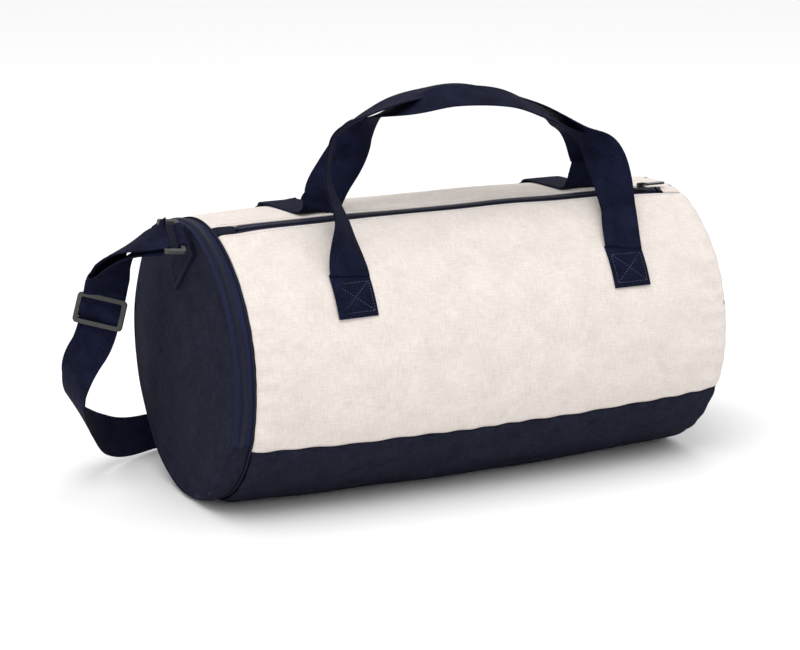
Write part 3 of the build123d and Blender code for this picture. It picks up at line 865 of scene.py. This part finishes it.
# direction across the band near a point of its route
strap_widths = [
    ((-0.2810, -0.0345, 0.2504), ring_bar_dir),
    ((-0.289, -0.022, 0.247), (0.24, 0.94, 0.20)),
    ((-0.297, -0.012, 0.242), (0.35, 0.93, 0.00)),
    ((-0.308, 0.003, 0.232), (0.50, 0.85, -0.20)),
    ((-0.310, 0.019, 0.219), (0.88, 0.45, -0.10)),
    ((-0.3052, 0.0329, 0.1974), (0.85, -0.50, -0.12)),
    ((-0.313, 0.030, 0.173), (0.78, -0.60, -0.18)),
    ((-0.3208, 0.0271, 0.1486), (0.75, -0.63, -0.18)),
    ((-0.337, 0.046, 0.104), (0.30, -0.79, -0.53)),
    ((-0.331, 0.062, 0.080), (0.25, -0.80, -0.53)),
    ((-0.311, 0.086, 0.055), (0.05, -0.75, -0.66)),
    ((-0.287, 0.110, 0.033), (-0.05, -0.30, -0.95)),
    ((-0.226, 0.146, 0.020), (0.0, 0.10, -1.0)),
    ((0.165, 0.159, 0.020), (0.0, 0.10, -1.0)),
    ((0.268, 0.124, 0.034), (0.30, 0.30, -0.9)),
    ((0.299, 0.070, 0.104), (0.75, 0.60, -0.2)),
    ((0.304, 0.041, 0.168), (0.70, 0.65, -0.3)),
    ((0.2789, 0.025, 0.200), (0.0, -0.1, -1.0)),
]


def spline_points(name, route, resolution=10):
    """Points along the smooth line that the route's points control."""
    curve = bpy.data.curves.new(name, "CURVE")
    curve.dimensions = "3D"
    line = curve.splines.new("NURBS")
    line.points.add(len(route) - 1)
    for point, place in zip(line.points, route):
        point.co = (*place, 1.0)
    line.order_u = 3
    line.use_endpoint_u = True
    line.resolution_u = resolution
    holder = bpy.data.objects.new(name, curve)
    bpy.context.scene.collection.objects.link(holder)
    mesh = bpy.data.meshes.new_from_object(holder)
    points = np.array([v.co[:] for v in mesh.vertices])
    bpy.data.objects.remove(holder)
    bpy.data.curves.remove(curve)
    bpy.data.meshes.remove(mesh)
    return points


strap_points = spline_points("strap_line", strap_route)
strap_place = run_lengths(strap_points)


def nearest_place(point):
    """Length along the strap at which it passes nearest to a point."""
    return strap_place[np.argmin(np.linalg.norm(strap_points - np.array(point), axis=-1))]


width_places = [nearest_place(p) for p, _ in strap_widths]
width_rows = unit([w for _, w in strap_widths])
strap_width_rows = np.stack([np.interp(strap_place, width_places, width_rows[:, k]) for k in range(3)], -1)
strap_along = unit(np.gradient(strap_points, axis=0))
strap_lean = np.sum(strap_width_rows * strap_along, -1, keepdims=True)
strap_across = unit(strap_width_rows - strap_along * strap_lean)
strap_face = np.cross(strap_along, strap_across)

adjuster_low, adjuster_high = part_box("strap_adjuster")
adjuster_mid = (np.array(adjuster_low) + np.array(adjuster_high)) / 2
adjuster_place = nearest_place(adjuster_mid)
adjuster_face = unit(adjuster_mid - strap_points[np.argmin(np.abs(strap_place - adjuster_place))])
away = strap_place - adjuster_place
over_bar = 0.0098 * np.exp(-(away / 0.0082) ** 2)

# the ring's outer bar, which the strap goes round
ring_low, ring_high = (np.array(corner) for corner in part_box("left_ring"))
ring_half_depth = 0.0075
bar_along = unit(np.array(ring_bar_dir))
ring_out = unit(np.array((-1.0, 0.0, 0.0)) + ring_bar_dir[0] * bar_along)
ring_front = np.cross(bar_along, ring_out)
bar_mid = (ring_low + ring_high) / 2 + ring_out * ring_half_depth
turn_r = 0.0036
turn_count = 6
join_length = 0.012           # length of route that the turn round the bar stands in for


def round_bar(low, high):
    """Points round the ring's outer bar, between two angles from its inner side."""
    turns = np.radians(np.linspace(low, high, turn_count))[:, None]
    return bar_mid - turn_r * np.cos(turns) * ring_out + turn_r * np.sin(turns) * ring_front


main_rows = strap_points + over_bar[:, None] * adjuster_face
joins = strap_place > join_length
main_rows = np.concatenate([round_bar(0, 90), main_rows[joins]])
main_across = np.concatenate([np.tile(bar_along, (turn_count, 1)), strap_across[joins]])
strap_band = ribbon("shoulder_strap_band", main_rows, main_across, band_navy, body="strap")
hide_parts("shoulder_strap")

# the doubled strand: from behind the bar back under the main strand to the adjuster
back_share = joins & (strap_place < adjuster_place + join_length)
share = np.clip(strap_place / adjuster_place, 0, 1)[:, None]
under = np.sign(np.dot(strap_face[3], -ring_front))
return_rows = strap_points + under * strap_face * (0.0036 + 0.005 * np.sin(share * math.pi))
return_rows = np.concatenate([round_bar(-8, -90), return_rows[back_share]])
return_across = np.concatenate([np.tile(bar_along, (turn_count, 1)), strap_across[back_share]])
return_band = ribbon("strap_return_band", return_rows, return_across, band_navy, body="strap")

# ---- strap tabs and their loops ----
loop_r = 0.0034
loop_length = 0.030


def end_place(side, place, lift):
    """Point on a round end panel at a place given as (y, z)."""
    y, z = place
    return end_point(side, math.hypot(y, z - axis_z), math.degrees(math.atan2(-y, z - axis_z)), lift)


def tab_pieces(side_name, side, bar_dir, out_dir):
    """Sewn webbing patch on an end panel and the rolled loop that holds the ring."""
    low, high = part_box(f"{side_name}_tab")
    mid = np.array([(low[1] + high[1]) / 2, (low[2] + high[2]) / 2])
    tilt = math.radians(135)
    long_way = np.array([math.cos(tilt), math.sin(tilt)])
    short_way = np.array([-long_way[1], long_way[0]])
    length, width = 0.056, 0.032
    steps = np.linspace(-length / 2, length / 2, 24)
    centres = [end_place(side, mid + long_way * step, 0.0016) for step in steps]
    across = np.tile([0.0, short_way[0], short_way[1]], (len(steps), 1))
    patch = ribbon(f"{side_name}_tab_band", centres, across, band_navy, width=width, body="bag")
    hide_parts(f"{side_name}_tab")
    inset_l, inset_w = length / 2 - 0.003, width / 2 - 0.003
    box = [(-inset_l, -inset_w), (inset_l, -inset_w), (inset_l, inset_w), (-inset_l, inset_w),
           (-inset_l, -inset_w)]
    dense = []
    for (la, wa), (lb, wb) in zip(box, box[1:]):
        for share in np.linspace(0, 1, 20):
            place = mid + long_way * (la + (lb - la) * share) + short_way * (wa + (wb - wa) * share)
            dense.append(end_place(side, place, 0.0027))
    sewing = stitches(f"{side_name}_tab_stitches", dense, np.tile([float(side), 0, 0], (len(dense), 1)),
                      navy_thread, pitch=0.0028)
    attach(sewing, "bag")
    loop_mid = np.mean(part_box(f"{side_name}_tab_loop"), axis=0)
    turns = np.radians(np.linspace(-172, 172, 40))[:, None]
    rows = loop_mid + loop_r * (np.cos(turns) * out_dir + np.sin(turns) * np.cross(bar_dir, out_dir))
    loop = ribbon(f"{side_name}_loop_band", rows, np.tile(bar_dir, (len(rows), 1)), band_navy,
                  width=loop_length, thick=0.0018, body="strap")
    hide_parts(f"{side_name}_tab_loop")


tab_pieces("left", -1, bar_along, ring_out)
tab_pieces("right", 1, np.array((0.0, 0.0, 1.0)), np.array((1.0, 0.0, 0.0)))

# ---- finishes of the CAD pieces that show ----
for material, nodes in ((grey_plastic, ("left_ring", "right_ring", "strap_adjuster")),
                        (zip_metal, ("main_slider", "main_pull", "end_slider", "end_pull", "main_zip_stops")),
                        (navy, ("divider_panel",)),
                        (tape_navy, ("left_seam_binding", "right_seam_binding"))):
    for node in nodes:
        for material_slot in frame["nodes"][node].material_slots:
            material_slot.material = material


# ---- floor, light and camera ----
def pale_floor():
    """Wide plain floor just under the bag."""
    bpy.ops.mesh.primitive_plane_add(size=60, location=(0, 0, -0.0004))
    floor = bpy.context.object
    floor.name = "floor"
    shader = Shader("pale floor", Roughness=0.9)
    shader.out.inputs["Base Color"].default_value = (0.93, 0.93, 0.93, 1)
    shader.out.inputs["Specular IOR Level"].default_value = 0.1
    floor.data.materials.append(shader.material)
    floor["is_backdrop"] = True


def area_light(name, place, target, size, power):
    """Square soft light at place, aimed at target."""
    data = bpy.data.lights.new(name, "AREA")
    data.size = size
    data.energy = power
    lamp = bpy.data.objects.new(name, data)
    lamp.location = place
    aim = np.array(target) - np.array(place)
    lamp.rotation_mode = "QUATERNION"
    lamp.rotation_quaternion = Vector(aim).to_track_quat("-Z", "Y")
    bpy.context.scene.collection.objects.link(lamp)


pale_floor()
area_light("key", (-0.9, -1.3, 2.6), (0, 0, 0.1), 1.6, 32)
area_light("top", (0.1, 0.3, 2.6), (0, 0, 0.1), 2.4, 10)

world = bpy.data.worlds.new("studio")
world.use_nodes = True
world.node_tree.nodes["Background"].inputs["Color"].default_value = (1.0, 1.0, 1.0, 1)
world.node_tree.nodes["Background"].inputs["Strength"].default_value = 0.98
bpy.context.scene.world = world
bpy.context.scene.view_settings.view_transform = "Standard"
bpy.context.scene.view_settings.look = "None"

camera_data = bpy.data.cameras.new("camera")
camera_data.lens = 105.9
camera_data.sensor_width = 36.0
camera_data.clip_start = 0.05
camera_data.clip_end = 60.0
camera = bpy.data.objects.new("camera", camera_data)
bpy.context.scene.collection.objects.link(camera)
camera.location = (-0.970, -1.925, 0.667)
camera_target = Vector((-0.031, 0.0, 0.137))
camera.rotation_mode = "QUATERNION"
camera.rotation_quaternion = (camera_target - camera.location).to_track_quat("-Z", "Y")
bpy.context.scene.camera = camera

bpy.context.view_layer.update()
low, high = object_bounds()
